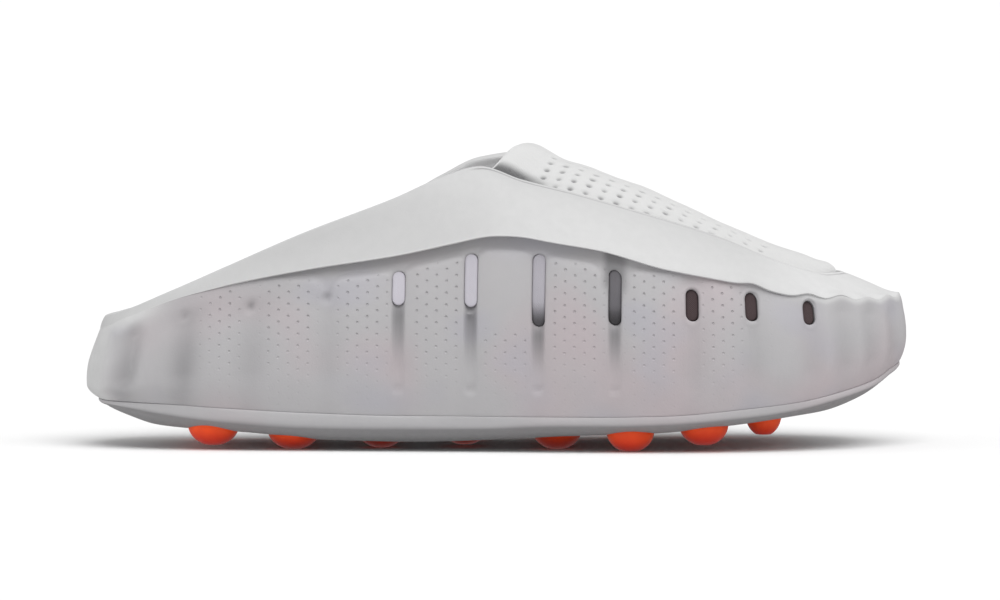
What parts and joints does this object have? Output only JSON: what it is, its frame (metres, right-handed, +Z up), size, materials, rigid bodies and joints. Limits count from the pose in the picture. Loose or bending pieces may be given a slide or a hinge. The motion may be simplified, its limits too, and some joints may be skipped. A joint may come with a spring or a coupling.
{
  "type": "sneaker mule",
  "caption": "Right foam mule with a ribbed, slotted moulded shell, a perforated textile vamp, a footbed and a rockered sole on round foam pods.",
  "frame": {"origin": "on the floor, under the middle of the shoe's bounding box", "axes": "+X to the toe, +Y to the inner (medial) side, +Z up"},
  "size_m": [0.3014, 0.1055, 0.1106],
  "materials": {
    "foam_grey": "matt moulded foam with fine dimples",
    "sole_grey": "matt moulded foam",
    "textile_white": "perforated textile",
    "insole_grey": "brushed textile over foam",
    "pod_orange": "satin moulded foam"
  },
  "bodies": {
    "root": {"upper": "foam_grey", "tongue": "textile_white", "insole": "insole_grey", "sole": "sole_grey", "pod_01": "pod_orange", "pod_02": "pod_orange", "pod_03": "pod_orange", "pod_04": "pod_orange", "pod_05": "pod_orange", "pod_06": "pod_orange", "pod_07": "pod_orange", "pod_08": "pod_orange", "pod_09": "pod_orange", "pod_10": "pod_orange", "pod_11": "pod_orange", "pod_12": "pod_orange", "pod_13": "pod_orange", "pod_14": "pod_orange", "pod_15": "pod_orange", "pod_16": "pod_orange", "pod_17": "pod_orange", "pod_18": "pod_orange", "pod_19": "pod_orange", "pod_20": "pod_orange", "pod_21": "pod_orange", "pod_22": "pod_orange"}
  },
  "joints": []
}
